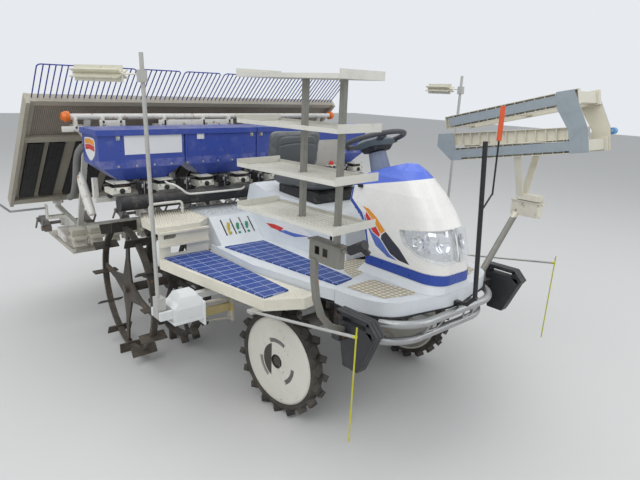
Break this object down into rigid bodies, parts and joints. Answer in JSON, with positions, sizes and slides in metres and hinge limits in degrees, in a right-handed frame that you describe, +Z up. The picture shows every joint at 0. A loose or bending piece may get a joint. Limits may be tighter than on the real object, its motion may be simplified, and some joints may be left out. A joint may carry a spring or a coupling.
{
  "type": "riding rice transplanter",
  "caption": "Four-wheel riding rice transplanter with bonnet, seat, fertilizer hoppers, side seedling racks, row markers and a raised rear planting section with a sloping seedling table.",
  "frame": {"origin": "on the ground under the middle of the overall outline, midway between front and rear ends and between the sides", "axes": "+X towards the bonnet's front, +Y towards the driver's left, +Z up"},
  "size_m": [3.7832, 3.07, 1.9803],
  "materials": {
    "frame_black": "satin",
    "case_grey": "satin",
    "cream_moulding": "satin",
    "grey_moulding": "satin",
    "blue_moulding": "satin",
    "blue_rubber": "matte",
    "black_plastic": "matte",
    "black_vinyl": "satin",
    "lamp_lens": "gloss",
    "black_tube": "gloss",
    "steel": "satin",
    "galvanised": "satin",
    "white_steel": "satin",
    "lever_knobs": "satin",
    "hopper_blue": "satin",
    "tyre": "matte",
    "wheel_blue": "satin",
    "wheel_grey": "satin",
    "float_cream": "matte",
    "table_cream": "satin",
    "blue_belt": "matte",
    "marker_white": "satin"
  },
  "bodies": {
    "chassis": {"chassis_frame": "frame_black", "transmission": "case_grey", "front_axle": "case_grey", "rear_axle": "case_grey", "engine_block": "frame_black", "main_floor": "cream_moulding", "front_floor": "cream_moulding", "step_decks": "cream_moulding", "rear_decks": "cream_moulding", "floor_mats": "blue_rubber", "engine_cover": "cream_moulding", "seat_base": "black_plastic", "seat": "black_vinyl", "bonnet": "cream_moulding", "bonnet_band": "blue_moulding", "cowl_base": "grey_moulding", "headlamps": "lamp_lens", "steering_column": "black_plastic", "front_bumper": "black_tube", "mascot_pole": "black_tube", "side_boxes": "cream_moulding", "side_marker_rods": "steel", "rack_pillars": "galvanised", "marker_drives": "white_steel", "levers": "lever_knobs", "handrails": "galvanised", "hopper_frame": "white_steel", "metering_units": "black_plastic", "air_duct": "black_plastic", "hoppers": "hopper_blue"},
    "knuckle_r_body": {"knuckle_r": "case_grey"},
    "knuckle_l_body": {"knuckle_l": "case_grey"},
    "front_wheel_r": {"front_tyre_r": "tyre", "front_disc_r": "wheel_blue"},
    "front_wheel_l": {"front_tyre_l": "tyre", "front_disc_l": "wheel_blue"},
    "rear_wheels_r": {"rear_wheel_r": "tyre", "aux_wheel_r": "wheel_grey"},
    "rear_wheels_l": {"rear_wheel_l": "tyre", "aux_wheel_l": "wheel_grey"},
    "steering": {"steering_wheel": "black_plastic"},
    "rack_r": {"seedling_rack_r": "galvanised"},
    "rack_l": {"seedling_rack_l": "cream_moulding"},
    "lid_r": {"hopper_lid_r": "hopper_blue"},
    "lid_l": {"hopper_lid_l": "hopper_blue"},
    "lower_link_body": {"lower_link": "frame_black"},
    "upper_link_body": {"upper_link": "frame_black"},
    "section": {"planting_frame": "frame_black", "planting_cases": "case_grey", "floats": "float_cream", "side_lamps": "lamp_lens", "side_guards": "galvanised"},
    "table": {"seedling_table": "table_cream", "feed_belts": "blue_belt", "table_guards": "galvanised"},
    "rotors": {"planting_rotors": "case_grey"},
    "levelling": {"levelling_rotor": "blue_moulding"},
    "marker_r": {"marker_arm_r": "marker_white"},
    "marker_l": {"marker_arm_l": "marker_white"}
  },
  "joints": [
    {"name": "steer_r", "type": "hinge", "parent": "chassis", "child": "knuckle_r_body", "pos_m": [0.8659, -0.47, 0.5], "axis": [0, 0, 1], "range_deg": [-42, 28]},
    {"name": "steer_l", "type": "hinge", "parent": "chassis", "child": "knuckle_l_body", "pos_m": [0.8659, 0.47, 0.5], "axis": [0, 0, 1], "range_deg": [-42, 28]},
    {"name": "steering_wheel_turn", "type": "hinge", "parent": "chassis", "child": "steering", "pos_m": [0.9739, 0, 1.58], "axis": [-0.3584, 0, 0.9336], "range_deg": [-252, 168]},
    {"name": "front_wheel_r_spin", "type": "hinge", "parent": "knuckle_r_body", "child": "front_wheel_r", "pos_m": [0.87809, -0.56925, 0.325], "axis": [-0.1219, 0.9925, 0], "continuous": true},
    {"name": "front_wheel_l_spin", "type": "hinge", "parent": "knuckle_l_body", "child": "front_wheel_l", "pos_m": [0.85371, 0.56925, 0.325], "axis": [-0.1219, 0.9925, 0], "continuous": true},
    {"name": "rear_wheels_r_spin", "type": "hinge", "parent": "chassis", "child": "rear_wheels_r", "pos_m": [-0.3441, -0.65, 0.475], "axis": [0, 1, 0], "continuous": true},
    {"name": "rear_wheels_l_spin", "type": "hinge", "parent": "chassis", "child": "rear_wheels_l", "pos_m": [-0.3441, 0.65, 0.475], "axis": [0, 1, 0], "continuous": true},
    {"name": "lift_lower", "type": "hinge", "parent": "chassis", "child": "lower_link_body", "pos_m": [-0.5341, 0, 0.48], "axis": [0, -1, 0], "range_deg": [0, 50]},
    {"name": "lift_upper", "type": "hinge", "parent": "chassis", "child": "upper_link_body", "pos_m": [-0.5341, 0, 0.65], "axis": [0, -1, 0], "range_deg": [0, 50]},
    {"name": "section_level", "type": "hinge", "parent": "lower_link_body", "child": "section", "pos_m": [-1.04163, 0, 0.71667], "axis": [0, -1, 0], "range_deg": [-50, 0]},
    {"name": "table_shift", "type": "slide", "parent": "section", "child": "table", "axis": [0, 1, 0], "range_m": [-0.1, 0.196]},
    {"name": "planting_spin", "type": "hinge", "parent": "section", "child": "rotors", "pos_m": [-1.69163, 0, 0.67167], "axis": [0, 1, 0], "continuous": true},
    {"name": "levelling_spin", "type": "hinge", "parent": "section", "child": "levelling", "pos_m": [-1.00363, 0, 0.70667], "axis": [0, 1, 0], "continuous": true},
    {"name": "marker_r_fold", "type": "hinge", "parent": "chassis", "child": "marker_r", "pos_m": [0.6609, -1.2, 0.7], "axis": [1, 0, 0], "range_deg": [0, 110]},
    {"name": "marker_l_fold", "type": "hinge", "parent": "chassis", "child": "marker_l", "pos_m": [0.6609, 1.2, 0.7], "axis": [-1, 0, 0], "range_deg": [0, 110]},
    {"name": "rack_r_swing", "type": "hinge", "parent": "chassis", "child": "rack_r", "pos_m": [1.5749, -0.822, 1.2], "axis": [0, 0, 1], "range_deg": [-10, 90]},
    {"name": "rack_l_swing", "type": "hinge", "parent": "chassis", "child": "rack_l", "pos_m": [1.5749, 0.822, 1.2], "axis": [0, 0, 1], "range_deg": [-90, 10]},
    {"name": "lid_r_open", "type": "hinge", "parent": "chassis", "child": "lid_r", "pos_m": [-0.5391, -0.58, 1.53], "axis": [0, -1, 0], "range_deg": [0, 75]},
    {"name": "lid_l_open", "type": "hinge", "parent": "chassis", "child": "lid_l", "pos_m": [-0.5391, 0.58, 1.53], "axis": [0, -1, 0], "range_deg": [0, 75]}
  ],
  "couplings": [
    {"joint": "steer_l", "follows": "steer_r", "ratio": 1},
    {"joint": "steering_wheel_turn", "follows": "steer_r", "ratio": 6},
    {"joint": "lift_upper", "follows": "lift_lower", "ratio": 1},
    {"joint": "section_level", "follows": "lift_lower", "ratio": -1}
  ]
}
